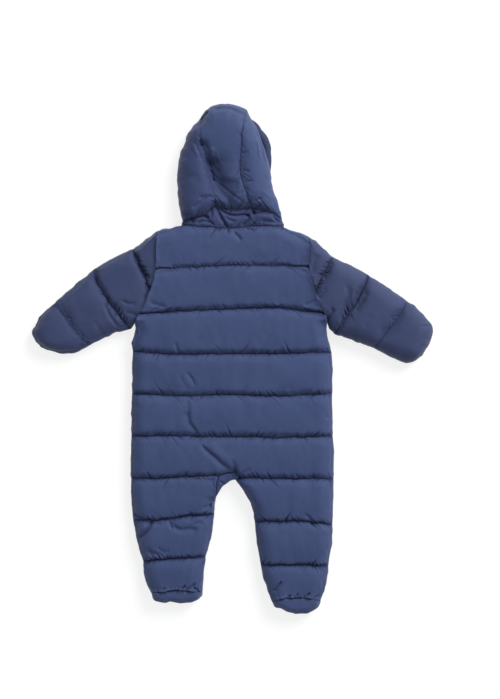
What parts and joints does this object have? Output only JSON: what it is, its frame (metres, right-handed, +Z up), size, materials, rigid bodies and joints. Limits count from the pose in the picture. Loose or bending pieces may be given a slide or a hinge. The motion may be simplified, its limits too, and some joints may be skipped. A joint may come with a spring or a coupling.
{
  "type": "baby snowsuit",
  "caption": "Padded baby snowsuit with hood, mittens and feet, quilted in bands, laid flat on its front with the back up.",
  "frame": {"origin": "centre of the garment's outline, on the surface it lies on", "axes": "+Z up from the surface, through the back; +Y from the feet towards the hood; +X towards the wearer's right sleeve"},
  "size_m": [0.6435, 0.8159, 0.0446],
  "materials": {
    "navy_shell": "satin",
    "navy_trim": "matte",
    "zip_tape": "matte",
    "zip_metal": "satin"
  },
  "bodies": {
    "suit": {"back": "navy_shell", "front_left": "navy_shell", "front_right": "navy_shell", "crotch_gusset": "navy_shell", "sleeve_left": "navy_shell", "sleeve_right": "navy_shell", "collar": "navy_shell", "hood_left": "navy_shell", "hood_centre": "navy_shell", "hood_right": "navy_shell", "hood_band": "navy_trim", "sole_left": "navy_shell", "sole_right": "navy_shell", "zip": "zip_tape", "zip_slider": "zip_metal"},
    "pull_tab": {"zip_pull": "zip_metal"}
  },
  "joints": [
    {"name": "pull_tab_swing", "type": "hinge", "parent": "suit", "child": "pull_tab", "pos_m": [0, 0.196, 0.0023], "axis": [1, 0, 0], "range_deg": [0, 150]}
  ]
}
